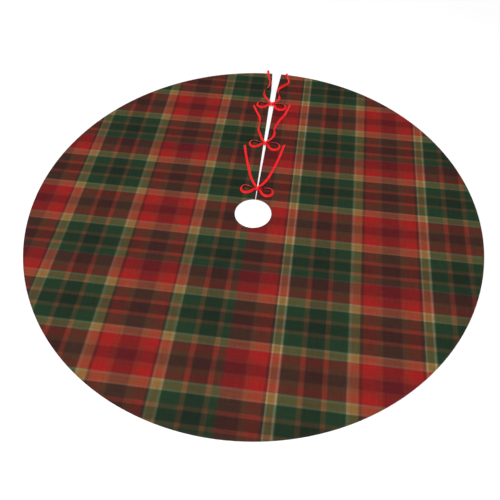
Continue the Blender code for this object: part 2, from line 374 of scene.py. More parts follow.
def ring_faces(rings, around):
    """The faces between closed rings of points, one ring after another."""
    faces = []
    for first in range(0, (rings - 1) * around, around):
        for k in range(around):
            a, b = first + k, first + (k + 1) % around
            faces.append((a, b, b + around, a + around))
    return faces


def band(name, line, slant):
    """A closed thin band along the line, its far end cut at a slant. A row that would
    dip into the cloth is lifted as a whole."""
    total = line[-1][4]
    points = []
    uvs = []
    for middle, ahead, width, share, distance in line:
        normal = width.cross(ahead)
        cut = max(0.0, 1.0 - (total - distance) / SLANT_LENGTH)
        row = []
        for side, order in ((1, ACROSS), (-1, ACROSS[::-1])):
            for u in order:
                reach = u * share * RIBBON_WIDTH / 2
                shift = slant * reach * cut * cut
                lift = section(share, u) + side * half_thickness(u)
                row.append(middle + width * reach + ahead * shift + normal * lift)
                uvs.append((distance, u * RIBBON_WIDTH / 2))
        sunk = max(0.0, LOWEST - min(point.z for point in row))
        points.extend(point + UP * sunk for point in row)
    ring = 2 * len(ACROSS)
    faces = ring_faces(len(line), ring)
    last = (len(line) - 1) * ring
    for k in range(len(ACROSS) - 1):
        across = (k, ring - 1 - k, ring - 2 - k, k + 1)
        faces.append(across)
        faces.append(tuple(last + corner for corner in reversed(across)))
    return mesh_object(name, points, faces, uvs)


def turn_faces_out(obj):
    shell = bmesh.new()
    shell.from_mesh(obj.data)
    bmesh.ops.recalc_face_normals(shell, faces=shell.faces)
    shell.to_mesh(obj.data)
    shell.free()
    obj.data.update()


# %% Make the six ties
ties = {}
for bow in BOWS:
    for side_name in SIDES:
        line = smooth_line(tie_stations(bow, side_name))
        tie = band(f"{bow}_{side_name}_tie", line, END_SLANT[side_name])
        turn_faces_out(tie)
        ties[bow, side_name] = tie
        print(tie.name, "is", round(line[-1][4], 3), "m long")

# %% [markdown]
# ## Satin
#
# Satin is woven so that most of the yarn on top runs along the ribbon. A narrow red
# ribbon also lets some light through, so its shaded side glows instead of going dark:
# a little subsurface scattering gives that. Its edges look paler and pinker where you
# see them at a low angle, and sheen gives that. Fine lines along the ribbon, from a
# stretched noise on the UV map, give the yarns, and a ribbed edge gives the selvedge.
#
# The helpers here add a node and join it in one call, which keeps each material
# readable as a short recipe.

# %% Node helpers
def to_linear(code):
    """A paint program's colour, from 0 to 255, as linear light with full alpha."""
    parts = [c / 255 for c in code]
    light = [p / 12.92 if p <= 0.04045 else ((p + 0.055) / 1.055) ** 2.4 for p in parts]
    return (*light, 1.0)


def add_node(tree, kind, inputs=(), **settings):
    """A new node. inputs maps a socket's name or number to a value or to another socket."""
    made = tree.nodes.new(kind)
    for key, value in settings.items():
        setattr(made, key, value)
    for key, value in dict(inputs).items():
        if isinstance(value, bpy.types.NodeSocket):
            tree.links.new(value, made.inputs[key])
        else:
            made.inputs[key].default_value = value
    return made


def shader_node(tree, kind, inputs=(), **settings):
    return add_node(tree, "ShaderNode" + kind, inputs, **settings)


def calc(tree, operation, a, b=0.0, c=0.0, clamp=False):
    values = {0: a, 1: b, 2: c}
    return shader_node(tree, "Math", values, operation=operation, use_clamp=clamp).outputs[0]


def wave(tree, distance, pitch):
    """A sine from -1 to 1 that repeats once in every pitch."""
    return calc(tree, "SINE", calc(tree, "MULTIPLY", distance, 2 * math.pi / pitch))


def contrast(tree, pattern, gain):
    """The same pattern with its swings round one half made larger."""
    return calc(tree, "MULTIPLY_ADD", calc(tree, "SUBTRACT", pattern, 0.5), gain, 0.5)


def blend_colours(tree, factor, a, b, how="MIX"):
    inputs = {0: factor, 6: a, 7: b}
    made = shader_node(tree, "Mix", inputs, data_type="RGBA", blend_type=how)
    return made.outputs[2]


def new_material(name, roughness, **fixed):
    """A material with a Principled shader, whose fixed values are set on its sockets."""
    material = bpy.data.materials.new(name)
    material.use_nodes = True
    shader = material.node_tree.nodes["Principled BSDF"]
    shader.inputs["Roughness"].default_value = roughness
    for key, value in fixed.items():
        shader.inputs[key.replace("_", " ")].default_value = value
    return material, material.node_tree, shader


def cloth_map(tree):
    """The U and V of the cloth map, in metres."""
    place = shader_node(tree, "UVMap", uv_map="cloth").outputs[0]
    parts = shader_node(tree, "SeparateXYZ", {0: place})
    return place, parts.outputs[0], parts.outputs[1]


def stretched_noise(tree, place, scale, detail=2.0):
    """Noise with its own scale along each axis of the place."""
    moved = shader_node(tree, "Mapping", {0: place, 3: scale}).outputs[0]
    inputs = {"Vector": moved, "Scale": 1.0, "Detail": detail}
    return shader_node(tree, "TexNoise", inputs).outputs[0]


def dress(tree, shader, colour, height, strength, depth):
    """Gives the shader its colour, and a bump of some strength and depth."""
    tree.links.new(colour, shader.inputs["Base Color"])
    inputs = {"Strength": strength, "Distance": depth, "Height": height}
    bump = shader_node(tree, "Bump", inputs)
    tree.links.new(bump.outputs[0], shader.inputs["Normal"])


# %% Satin material
SATIN_RED = to_linear((252, 34, 40))
# SATIN_SHADE is painted shade: the crease noise darkens the red towards it in the creases.
SATIN_SHADE = to_linear((212, 6, 13))
SELVEDGE = 0.6 * MM
RIB_PITCH = 0.7 * MM


def make_satin():
    material, tree, shader = new_material(
        "satin",
        0.42,
        Specular_IOR_Level=0.1,
        Subsurface_Weight=0.4,
        Subsurface_Scale=1.0 * MM,
        Subsurface_Radius=(1.0, 0.2, 0.25),
        Sheen_Weight=0.35,
        Sheen_Roughness=0.3,
        Sheen_Tint=(1.0, 0.5, 0.65, 1.0),
    )
    place, along, across = cloth_map(tree)
    yarns = stretched_noise(tree, place, (60.0, 3600.0, 1.0))
    creases = stretched_noise(tree, place, (110.0, 140.0, 1.0), 3.0)
    # Painted shade: the crease noise darkens the red towards SATIN_SHADE in the creases and
    # lightens it between them.
    painted_crease_shade = calc(tree, "MULTIPLY", contrast(tree, creases, 2.4), 0.5)
    tone = calc(tree, "MULTIPLY_ADD", contrast(tree, yarns, 2.2), 0.5, painted_crease_shade, clamp=True)
    colour = blend_colours(tree, tone, SATIN_SHADE, SATIN_RED)
    from_middle = calc(tree, "ABSOLUTE", across)
    edge = calc(tree, "GREATER_THAN", from_middle, RIBBON_WIDTH / 2 - SELVEDGE)
    ribs = calc(tree, "MULTIPLY", edge, wave(tree, along, RIB_PITCH))
    woven = calc(tree, "MULTIPLY_ADD", ribs, 0.25, yarns)
    height = calc(tree, "MULTIPLY_ADD", creases, 2.5, woven)
    dress(tree, shader, colour, height, 0.5, 0.16 * MM)
    roughness = calc(tree, "MULTIPLY_ADD", creases, 0.22, 0.32)
    tree.links.new(roughness, shader.inputs["Roughness"])
    return material


satin = make_satin()
for tie in ties.values():
    tie.data.materials.append(satin)
print("satin on", len(ties), "ties")

# %% [markdown]
# ## The knots
#
# Where the two ties cross, one wraps round the other and gathers it. The wrap is a
# ribbon pulled tight, so it is narrow in the middle, full at the rims, and has a few
# pleats that run with it. A small closed shell stands for the wrap, made ring by ring
# round the line from the left loop to the right one.

# %% Knot wraps
KNOT_RINGS = 29
KNOT_ROUND = 40
KNOT_TURN = math.radians(-12)
KNOT_REACH = Vector((0.49 * KNOT_SIZE.x, 0.48 * KNOT_SIZE.y, 0.5 * KNOT_SIZE.z))
KNOT_WAIST = 0.87  # how full the wrap is in its middle, where its rims are 1
KNOT_PLEAT = 0.075
KNOT_TAPER = 0.10  # the wrap is narrower on top than underneath
KNOT_SQUARENESS = 0.8  # 1 would be a plain ellipse
WRAP_RADIUS = 4.5 * MM  # for the satin's lines, which run round the wrap
WRAP_WIDTH = RIBBON_WIDTH * 0.84


def squared(value):
    return math.copysign(abs(value) ** KNOT_SQUARENESS, value)


def knot_point(centre, s, angle):
    """A point on the wrap: s runs from -1 to 1 across it, angle goes round it."""
    rim = (1.0 - abs(s) ** 5) ** 0.5
    waist = KNOT_WAIST + (1.0 - KNOT_WAIST) * min(1.0, abs(s) * 1.6)
    pleat = 1.0 + KNOT_PLEAT * math.cos(3.1 * math.pi * s + 0.9 * math.sin(angle + 0.4))
    swell = rim * waist * pleat
    x = s * (1.0 - KNOT_TAPER * math.sin(angle))
    y = squared(math.cos(angle)) * swell
    z = squared(math.sin(angle)) * swell
    point = Vector((x * KNOT_REACH.x, y * KNOT_REACH.y, z * KNOT_REACH.z))
    return centre + Matrix.Rotation(KNOT_TURN, 3, "Z") @ point


def make_knot(name, place):
    """The wrap of one bow, ring by ring, with a fan of faces over each end."""
    centre = Vector((0.0, place, KNOT_BOTTOM + KNOT_SIZE.z / 2))
    points = []
    uvs = []
    for i in range(1, KNOT_RINGS):
        s = -math.cos(math.pi * i / KNOT_RINGS)
        for k in range(KNOT_ROUND):
            angle = 2 * math.pi * k / KNOT_ROUND
            points.append(knot_point(centre, s, angle))
            uvs.append((angle * WRAP_RADIUS, s * WRAP_WIDTH / 2))
    faces = ring_faces(KNOT_RINGS - 1, KNOT_ROUND)
    for first in (0, (KNOT_RINGS - 2) * KNOT_ROUND):
        ring = points[first:first + KNOT_ROUND]
        points.append(sum(ring, Vector()) / KNOT_ROUND)
        uvs.append(uvs[first])
        for k in range(KNOT_ROUND):
            faces.append((first + k, first + (k + 1) % KNOT_ROUND, len(points) - 1))
    knot = mesh_object(name, points, faces, uvs)
    turn_faces_out(knot)
    knot.data.materials.append(satin)
    return knot


knots = {bow: make_knot(f"{bow}_knot_wrap", place) for bow, place in BOWS.items()}
print("knots:", sorted(knots))

# %% [markdown]
# ## The two layers of cloth
#
# The face and the lining are sewn together right sides in, then turned right side out
# through the slit. So every edge is closed and rolled, the face wraps a little round
# it, and the seam allowance inside makes a band along the edge stand slightly proud.
# A row of topstitching pulls that band down.
#
# A circle filled by Blender has long thin triangles, which can't bend. This cloth is a
# grid instead. Its columns are circles round the trunk hole, and its rows run from the
# hole to the outer edge. Rows are packed along the slit, and along the line where the
# skirt folds, since that is where the cloth rolls over.

# %% Sizes of the cloth
SKIRT_RADIUS = 610.0 * MM
HOLE_RADIUS = 50.0 * MM
FACE_TOP = 1.7 * MM
SLIT_HALF_WIDTHS = (
    (50.0 * MM, 1.0 * MM),
    (87.0 * MM, 1.5 * MM),
    (270.0 * MM, 4.25 * MM),
    (450.0 * MM, 7.5 * MM),
    (520.0 * MM, 8.75 * MM),
    (610.0 * MM, 15.0 * MM),
)
EDGE_STEPS = [d * MM for d in (0.0, 0.3, 0.8, 1.5, 2.4, 3.2, 4.0, 4.8, 6.0, 8.0, 10.0, 12.5)]
FOLD_ROWS = [y * MM for y in (*range(13), 14, 16)]
FRONT_FOLD_ROWS = [y * MM for y in (1, 2, 4, 8, 16)]
FLAP_ROWS = 40
FRONT_ROWS = 84
COLUMN_STEP = 9.5 * MM
LINING_INSET = 1.3 * MM


def slit_half_width(distance):
    """Half of the slit's width at a distance from the middle of the hole."""
    pairs = zip(SLIT_HALF_WIDTHS, SLIT_HALF_WIDTHS[1:])
    for (near, narrow), (far, wide) in pairs:
        if distance <= far:
            return narrow + (wide - narrow) * (distance - near) / (far - near)
    return SLIT_HALF_WIDTHS[-1][1]


# %% Grid of the cloth
def columns(inset):
    """Radii from the hole to the outer edge, close together near both."""
    low = HOLE_RADIUS + inset
    high = SKIRT_RADIUS - inset
    start = low + EDGE_STEPS[-1]
    end = high - EDGE_STEPS[-1]
    count = round((end - start) / COLUMN_STEP)
    between = [start + (end - start) * i / count for i in range(1, count)]
    return [low + d for d in EDGE_STEPS] + between + [high - d for d in EDGE_STEPS[::-1]]


def on_circle(r, angle):
    return r * math.cos(angle), r * math.sin(angle)


def beside_slit(radii, offset):
    """The point of each circle at an offset from the slit's right edge."""
    xs = [slit_half_width(r) + offset for r in radii]
    return [(x, math.sqrt(r * r - x * x)) for r, x in zip(radii, xs)]


def mirrored(rows):
    """The same rows on the left, in the opposite order."""
    return [[(-x, y) for x, y in row] for row in rows[::-1]]


def flap_rows(radii, inset):
    """Rows of the right flap, from the slit's edge to the fold."""
    rows = [beside_slit(radii, inset + step) for step in EDGE_STEPS]
    highs = [math.acos(x / r) for r, (x, _) in zip(radii, rows[-1])]
    lows = [math.asin(FOLD_ROWS[-1] / r) for r in radii]
    for i in range(1, FLAP_ROWS):
        angles = [high + (low - high) * i / FLAP_ROWS for high, low in zip(highs, lows)]
        rows.append([on_circle(r, angle) for r, angle in zip(radii, angles)])
    return rows + [[(math.sqrt(r * r - y * y), y) for r in radii] for y in FOLD_ROWS[::-1]]


def front_rows(radii):
    """Rows of the front half, from the fold on the right round to the fold on the left."""
    right = [[(math.sqrt(r * r - y * y), -y) for r in radii] for y in FRONT_FOLD_ROWS]
    lows = [math.asin(FRONT_FOLD_ROWS[-1] / r) for r in radii]
    middle = []
    for i in range(1, FRONT_ROWS):
        angles = [-low - (math.pi - 2 * low) * i / FRONT_ROWS for low in lows]
        middle.append([on_circle(r, angle) for r, angle in zip(radii, angles)])
    return right + middle + mirrored(right)


def cloth_rows(inset):
    radii = columns(inset)
    right = flap_rows(radii, inset)
    return right + front_rows(radii) + mirrored(right)


# %% [markdown]
# ### How high the cloth stands
#
# The height depends on the distance from the nearest edge: first the rolled edge, then
# the band over the seam allowance with the stitching pulled into it, then the plain
# cloth. A slow, shallow noise keeps the plain cloth from looking like sheet metal. It
# fades out under the bows, so that the ribbons stay on top.

# %% Height of the face and the lining
EDGE_ROLL = 1.4 * MM
SEAM_BAND = 9.0 * MM
SEAM_BAND_RISE = 0.28 * MM
STITCH_INSET = 4.0 * MM
STITCH_PULL = 0.22 * MM
STITCH_REACH = 0.9 * MM  # how far from the stitches their pull is felt
RIPPLE = 0.45 * MM
LEAST_RIPPLE = 0.15  # the share of the ripple that is left under the bows
BOW_STRIP = 85.0 * MM
FACE_EDGE = 0.85 * MM  # how high the middle of each layer's edge is
LINING_EDGE = 0.45 * MM


def smooth_step(low, high, value):
    t = min(1.0, max(0.0, (value - low) / (high - low)))
    return t * t * (3 - 2 * t)


def edge_distance(x, y):
    """How far a point of the cloth is from the nearest edge."""
    r = math.hypot(x, y)
    nearest = min(SKIRT_RADIUS - r, r - HOLE_RADIUS)
    if y > 0:
        nearest = min(nearest, abs(x) - slit_half_width(r))
    return max(0.0, nearest)


def stitch_pull(d):
    """From 1 at the stitches to 0 away from them."""
    return math.exp(-(((d - STITCH_INSET) / STITCH_REACH) ** 2))


def relief(x, y, d):
    """What the seam band, its stitching and the ripples add to the plain height."""
    band_rise = SEAM_BAND_RISE * (1.0 - smooth_step(SEAM_BAND, SEAM_BAND + 2 * MM, d))
    pull = STITCH_PULL * stitch_pull(d)
    calm = smooth_step(BOW_STRIP, 2 * BOW_STRIP, abs(x)) if y > 0 else 1.0
    calm = max(LEAST_RIPPLE, calm)
    slow = noise.noise(Vector((x * 9.0, y * 9.0, 3.7)))
    slow += 0.5 * noise.noise(Vector((x * 21.0, y * 21.0, 8.1)))
    return band_rise - pull + RIPPLE * calm * slow * smooth_step(0.0, 20 * MM, d)


def rolled(d):
    """0 at the very edge of the cloth and 1 past the roll, as a quarter of a circle."""
    return math.sqrt(1.0 - (1.0 - min(1.0, d / EDGE_ROLL)) ** 2)


def face_heights(x, y, d):
    """(top, bottom) of the face. At the edge it wraps down round the lining."""
    top = FACE_EDGE + (FACE_TOP + relief(x, y, d) - FACE_EDGE) * rolled(d)
    low = 0.35 * MM + 0.55 * MM * smooth_step(1.0 * MM, 2.0 * MM, d)
    bottom = FACE_EDGE + (low - FACE_EDGE) * rolled(d)
    return top, bottom


def lining_heights(x, y, d):
    """(top, bottom) of the lining, which starts a little inside the face's edge."""
    inside = max(0.0, d - LINING_INSET)
    top = LINING_EDGE + 0.3 * MM * rolled(inside)
    low = 0.1 * MM + 0.1 * MM * stitch_pull(d)
    bottom = LINING_EDGE + (low - LINING_EDGE) * rolled(inside)
    return top, bottom


def make_cloth(name, inset, heights):
    """A closed thin shell over the grid, whose top and bottom share their edge points."""
    rows = cloth_rows(inset)
    wide = len(rows[0])
    last = len(rows) - 1
    points = []
    uvs = []
    under = {}
    for i, row in enumerate(rows):
        for k, (x, y) in enumerate(row):
            top, bottom = heights(x, y, edge_distance(x, y))
            on_edge = i in (0, last) or k in (0, wide - 1)
            points.append((x, y, top))
            uvs.append((x, y))
            under[i, k] = len(points) - 1 if on_edge else bottom
    for (i, k), value in list(under.items()):
        if isinstance(value, float):
            x, y = rows[i][k]
            points.append((x, y, value))
            uvs.append((x, y))
            under[i, k] = len(points) - 1
    faces = []
    for i in range(last):
        for k in range(wide - 1):
            a = i * wide + k
            faces.append((a, a + wide, a + wide + 1, a + 1))
            faces.append((under[i, k], under[i, k + 1], under[i + 1, k + 1], under[i + 1, k]))
    cloth = mesh_object(name, points, faces, uvs)
    turn_faces_out(cloth)
    return cloth


face = make_cloth("face", 0.0, face_heights)
lining = make_cloth("lining", LINING_INSET, lining_heights)
print("face has", len(face.data.polygons), "faces; lining", len(lining.data.polygons))

# %% [markdown]
# ## The plaid
#
# A plaid is two sets of coloured stripes, one along each axis, and where they cross,
# the two colours mix. The order and widths of the stripes is called the sett. This
# cloth is printed, so its sett repeats in tiles 608 mm wide and 430 mm deep. A tile
# doesn't quite match the next one: a faint line shows where they meet, and right of the
# middle the print is a little narrower and its cream bands have a frosted thread.
#
# An image would be the quick way, but Color Ramps say the same in numbers that can be
# changed. The cloth map drives them, so the pattern stays on the cloth when the skirt
# folds.
#
# Printed yarns mix darker than light does. Raising both colours to a small power,
# taking their mean, and undoing the power at the end gives that deeper mix.

# %% Colours and setts of the plaid
YARNS = {
    "cream": (136, 97, 56),
    "pale": (132, 122, 88),
    "frost": (172, 158, 122),
    "red": (152, 34, 32),
    "rust": (127, 44, 36),
    "dark red": (92, 29, 32),
    "shadow": (86, 36, 34),
    "line": (89, 60, 42),
    "umber": (70, 39, 35),
    "moss": (50, 49, 37),
    "green": (35, 56, 38),
    "dark green": (30, 42, 32),
    "join": (76, 56, 52),
}
MIX_POWER = 0.18
WARP_TILE = 607.6 * MM
WARP_TILE_RIGHT = 599.2 * MM  # the tile right of the middle is a little narrower
WARP_START = 0.6 * MM
LAST_WARP_YARN = 0.9999  # the last green runs on to the right edge, with no new tile
WEFT_TILE = 430.5 * MM
WEFT_JOIN = 243.0 * MM  # where two tiles meet behind the hole


def sett(*bands):
    """Stops (place, yarn) from bands. A band is a yarn, then the millimetres from the
    start of the tile where it begins and ends being pure."""
    return [(place, yarn) for yarn, *places in bands for place in places]


WARP_SETT = sett(
    ("dark red", 0, 38), ("rust", 50), ("red", 64, 85), ("shadow", 90), ("pale", 97),
    ("cream", 102, 113), ("pale", 118), ("green", 125, 160), ("line", 168.5, 172.5),
    ("dark green", 180, 213), ("line", 221, 225), ("green", 233, 266), ("pale", 276),
    ("cream", 282, 295), ("shadow", 302), ("red", 309, 332), ("rust", 345),
    ("dark red", 358, 389), ("rust", 405), ("red", 420, 437), ("shadow", 443),
    ("pale", 449), ("cream", 455, 464), ("pale", 469), ("green", 479, 512),
    ("line", 520.5, 524.5), ("dark green", 533, 566), ("line", 574, 578),
    ("green", 587, 592), ("moss", 597), ("umber", 602), ("dark red", 607.6),
)
# Right of the middle, the cream bands have a frosted thread at both edges.
WARP_SETT_RIGHT = [
    *(stop for stop in WARP_SETT if stop[0] < 90),
    *sett(("shadow", 94), ("frost", 98), ("cream", 102, 113), ("frost", 117)),
    *(stop for stop in WARP_SETT if 118 < stop[0] < 443),
    *sett(("shadow", 447), ("frost", 451), ("cream", 455, 467), ("frost", 471)),
    *(stop for stop in WARP_SETT if 471 < stop[0] < 590),
    (607.6, "green"),
]
WEFT_SETT = sett(
    ("join", 0), ("dark red", 3, 25), ("rust", 39), ("red", 50, 59), ("pale", 65),
    ("cream", 70, 80), ("pale", 84.5), ("green", 89, 111), ("line", 118, 121),
    ("dark green", 128, 148), ("line", 155, 158), ("green", 165, 188), ("pale", 194),
    ("cream", 199, 207), ("pale", 211.5), ("red", 216, 231), ("rust", 243),
    ("dark red", 253, 269), ("rust", 281), ("red", 294, 304), ("pale", 311),
    ("cream", 316, 327), ("pale", 331.5), ("green", 336, 358), ("line", 365.5, 368.5),
    ("dark green", 376, 396), ("line", 403, 406), ("green", 413, 426), ("join", 429, 430.5),
)

# %% [markdown]
# ### A ramp for a long sett
#
# A printed stripe has a fairly crisp edge, so each change of yarn is first narrowed to
# a few millimetres. A Color Ramp holds 32 stops. A longer sett is cut into several
# ramps, each starting on the last stop of the one before, and a comparison picks the
# ramp for each place.

# %% Ramps from a sett
RAMP_STOPS = 28
CHANGE_WIDTH = (2.4, 5.0)  # millimetres over which a yarn gives way: most yarns, rust


def yarn_power(name):
    return [c ** MIX_POWER for c in to_linear(YARNS[name])]


def one_ramp(tree, position, stops):
    """A Color Ramp over part of a tile. stops are (position, yarn)."""
    made = shader_node(tree, "ValToRGB", {0: position})
    ramp = made.color_ramp
    for where, _ in stops[2:]:
        ramp.elements.new(where)
    for element, (where, yarn) in zip(ramp.elements, stops):
        element.position = where
        element.color = yarn_power(yarn)
    return made.outputs[0]


def crisp(stops):
    """The same stops with each change of yarn made quickly, round its own middle."""
    made = [stops[0]]
    for (low, before), (high, after) in zip(stops, stops[1:]):
        if before != after:
            width = min(high - low, CHANGE_WIDTH[before == "rust" or after == "rust"])
            made.append(((low + high - width) / 2, before))
            made.append(((low + high + width) / 2, after))
    return [*made, stops[-1]]


def sett_colour(tree, position, stops, tile):
    """The yarn colour, raised to the mixing power, at a position from 0 to 1."""
    stops = [(where * MM / tile, yarn) for where, yarn in crisp(stops)]
    colour = one_ramp(tree, position, stops[:RAMP_STOPS])
    for first in range(RAMP_STOPS - 1, len(stops) - 1, RAMP_STOPS - 1):
        part = stops[first:first + RAMP_STOPS]
        past = calc(tree, "GREATER_THAN", position, part[0][0])
        colour = blend_colours(tree, past, colour, one_ramp(tree, position, part))
    return colour


# %% [markdown]
# ### Weave and nap
#
# The cloth under the print is a fine twill with a brushed surface. A sine along the
# diagonal makes the twill: it takes turns showing the warp colour and the weft colour,
# and lifts them in the bump. The nap is two noises, stretched along one axis each, that
# make short faint streaks.

# %% Plaid material
YARN_PITCH = 0.7 * MM
TWILL_PITCH = 1.1 * MM
MIX_SWING = 0.16
STREAK_SWING = 0.3
PRINT_DEPTH = 0.855  # how much of the yarns' own light the print gives back


def make_plaid():
    material, tree, shader = new_material("plaid", 0.95, Specular_IOR_Level=0.02)
    place, along, across = cloth_map(tree)
    from_start = calc(tree, "SNAP", calc(tree, "SUBTRACT", along, WARP_START), YARN_PITCH)
    narrower = 1 / WARP_TILE_RIGHT - 1 / WARP_TILE
    extra = calc(tree, "MULTIPLY", calc(tree, "MAXIMUM", from_start, 0.0), narrower)
    tiles = calc(tree, "MULTIPLY_ADD", from_start, 1 / WARP_TILE, extra)
    warp_place = calc(tree, "FRACT", calc(tree, "MINIMUM", tiles, LAST_WARP_YARN))
    down = calc(tree, "SNAP", calc(tree, "SUBTRACT", WEFT_JOIN, across), YARN_PITCH)
    weft_place = calc(tree, "FRACT", calc(tree, "DIVIDE", down, WEFT_TILE))
    warp_left = sett_colour(tree, warp_place, WARP_SETT, WARP_TILE)
    warp_right = sett_colour(tree, warp_place, WARP_SETT_RIGHT, WARP_TILE)
    on_right = calc(tree, "GREATER_THAN", from_start, 0.0)
    warp = blend_colours(tree, on_right, warp_left, warp_right)
    weft = sett_colour(tree, weft_place, WEFT_SETT, WEFT_TILE)
    twill = wave(tree, calc(tree, "ADD", along, across), TWILL_PITCH)
    share = calc(tree, "MULTIPLY_ADD", twill, MIX_SWING, 0.5)
    mixed = blend_colours(tree, share, warp, weft)
    printed = shader_node(tree, "Gamma", {0: mixed, 1: 1 / MIX_POWER}).outputs[0]
    streaks_up = stretched_noise(tree, place, (520.0, 24.0, 1.0), 3.0)
    streaks_along = stretched_noise(tree, place, (24.0, 520.0, 1.0), 3.0)
    streaks = calc(tree, "ADD", streaks_up, streaks_along)
    depth = PRINT_DEPTH * STREAK_SWING
    tone = calc(tree, "MULTIPLY_ADD", streaks, 2 * depth, PRINT_DEPTH - 2 * depth)
    grey = shader_node(tree, "CombineColor", {0: tone, 1: tone, 2: tone}).outputs[0]
    colour = blend_colours(tree, 1.0, printed, grey, "MULTIPLY")
    height = calc(tree, "MULTIPLY_ADD", twill, 0.4, streaks)
    dress(tree, shader, colour, height, 0.35, 0.2 * MM)
    return material


face.data.materials.append(make_plaid())

# %% [markdown]
# ## The lining
#
# The lining is a plain off-white weave, thinner than the face. A plain weave goes one
# over, one under, so its bump is two crossed sines multiplied. Slubs, which are thicker
# bits of yarn, show as faint streaks in both directions.

# %% Lining material
LINING_LIGHT = to_linear((232, 228, 219))
LINING_SHADE = to_linear((214, 208, 196))
LINING_PITCH = 0.9 * MM


def make_lining_material():
    material, tree, shader = new_material("lining_weave", 0.85, Specular_IOR_Level=0.2)
    place, along, across = cloth_map(tree)
    over = wave(tree, along, LINING_PITCH)
    weave = calc(tree, "MULTIPLY", over, wave(tree, across, LINING_PITCH))
    slubs_up = stretched_noise(tree, place, (700.0, 22.0, 1.0))
    slubs_along = stretched_noise(tree, place, (22.0, 700.0, 1.0))
    slubs = calc(tree, "ADD", slubs_up, slubs_along)
    # Painted light and shade: the weave also lightens and darkens the colour at each yarn
    # crossing, between LINING_LIGHT and LINING_SHADE.
    tone = calc(tree, "MULTIPLY_ADD", weave, 0.18, calc(tree, "MULTIPLY", slubs, 0.5))
    colour = blend_colours(tree, tone, LINING_SHADE, LINING_LIGHT)
    height = calc(tree, "MULTIPLY_ADD", weave, 0.5, slubs)
    dress(tree, shader, colour, height, 0.4, 0.15 * MM)
    return material


lining.data.materials.append(make_lining_material())

# %% [markdown]
# ## Stitches
#
# A stitch repeats well over a thousand times here, so Geometry Nodes lay it along a
# path. The tree takes a curve, places points at even steps, and puts a small tapered
# stitch on each, turned to follow the curve. The ends of a stitch dip into the cloth
# because it is an egg shape half sunk in the surface.
#
# The path runs 4 mm inside the edge: round the outside, in along the slit, round the
# hole, and out along the slit again. The lower thread of the machine makes the same
# row on the lining.

# %% Node tree for a row of stitches
STITCH_SIZES = (
    ("Spacing", 3.2 * MM),
    ("Stitch Length", 2.7 * MM),
    ("Thread Width", 0.5 * MM),
    ("Thread Height", 0.36 * MM),
    ("Turn", 0.0),
)


def stitch_tree():
    """Geometry Nodes: a curve in, a row of stitches along it out."""
    tree = bpy.data.node_groups.new("stitch_row", "GeometryNodeTree")

    def socket(name, kind, in_out="INPUT"):
        kind = "NodeSocket" + kind
        return tree.interface.new_socket(name, in_out=in_out, socket_type=kind)

    def step(kind, inputs=(), **settings):
        return add_node(tree, kind, inputs, **settings).outputs[0]

    socket("Geometry", "Geometry")
    for name, usual in STITCH_SIZES:
        socket(name, "Float").default_value = usual
    socket("Material", "Material")
    socket("Geometry", "Geometry", "OUTPUT")
    start = tree.nodes.new("NodeGroupInput").outputs
    spacing = {"Curve": start["Geometry"], "Length": start["Spacing"]}
    points = step("GeometryNodeResampleCurve", spacing, mode="LENGTH")
    egg = step("GeometryNodeMeshUVSphere", {"Segments": 8, "Rings": 5, "Radius": 0.5})
    sizes = [start[name] for name in ("Thread Width", "Thread Height", "Stitch Length")]
    size = step("ShaderNodeCombineXYZ", dict(enumerate(sizes)))
    stitch = step("GeometryNodeTransform", {"Geometry": egg, "Scale": size})
    turning = {"Vector": step("GeometryNodeInputTangent"), "Angle": start["Turn"]}
    way = step("ShaderNodeVectorRotate", turning, rotation_type="Z_AXIS")
    align = "FunctionNodeAlignRotationToVector"
    turned = step(align, {"Vector": way}, axis="Z")
    up = {"Rotation": turned, "Vector": (0.0, 0.0, 1.0)}
    upright = step(align, up, axis="Y", pivot_axis="Z")
    parts = {"Points": points, "Instance": stitch, "Rotation": upright}
    row = step("GeometryNodeInstanceOnPoints", parts)
    row = step("GeometryNodeRealizeInstances", {0: row})
    row = step("GeometryNodeSetMaterial", {"Geometry": row, "Material": start["Material"]})
    tree.links.new(row, tree.nodes.new("NodeGroupOutput").inputs[0])
    return tree


# %% Thread material and a helper that runs the tree
THREAD_LIGHT = to_linear((112, 26, 28))
THREAD_SHADE = to_linear((58, 18, 20))
TACK_LIGHT = to_linear((222, 26, 32))
TACK_SHADE = to_linear((150, 12, 18))


def make_thread(name, light, shade):
    """Thread with fine light and dark flecks, as its plies catch the light."""
    material, tree, shader = new_material(name, 0.7, Specular_IOR_Level=0.25)
    place = shader_node(tree, "TexCoord").outputs["Object"]
    plies = stretched_noise(tree, place, (1400.0, 1400.0, 1400.0), 1.0)
    colour = blend_colours(tree, plies, shade, light)
    dress(tree, shader, colour, plies, 0.5, 0.1 * MM)
    return material


STITCHES = stitch_tree()
STITCH_INPUTS = {
    item.name: item.identifier
    for item in STITCHES.interface.items_tree
    if item.item_type == "SOCKET" and item.in_out == "INPUT"
}


def path_object(name, paths):
    """A curve object with one open polyline for each path."""
    curve = bpy.data.curves.new(name, "CURVE")
    curve.dimensions = "3D"
    for path in paths:
        spline = curve.splines.new("POLY")
        spline.points.add(len(path) - 1)
        for point, place in zip(spline.points, path):
            point.co = (*place, 1.0)
    return add_object(name, curve)


def sew(name, paths, material, **sizes):
    """Runs the stitch tree along the paths and keeps its result as a plain mesh."""
    path = path_object(name + "_path", paths)
    modifier = path.modifiers.new("stitches", "NODES")
    modifier.node_group = STITCHES
    modifier[STITCH_INPUTS["Material"]] = material
    for key, value in sizes.items():
        modifier[STITCH_INPUTS[key.replace("_", " ")]] = value
    bpy.context.view_layer.update()
    graph = bpy.context.evaluated_depsgraph_get()
    mesh = bpy.data.meshes.new_from_object(path.evaluated_get(graph), depsgraph=graph)
    mesh.name = name
    bpy.data.objects.remove(path)
    print(name, "has", len(mesh.polygons), "faces")
    return add_object(name, mesh)


# %% [markdown]
# ### The path of the topstitching

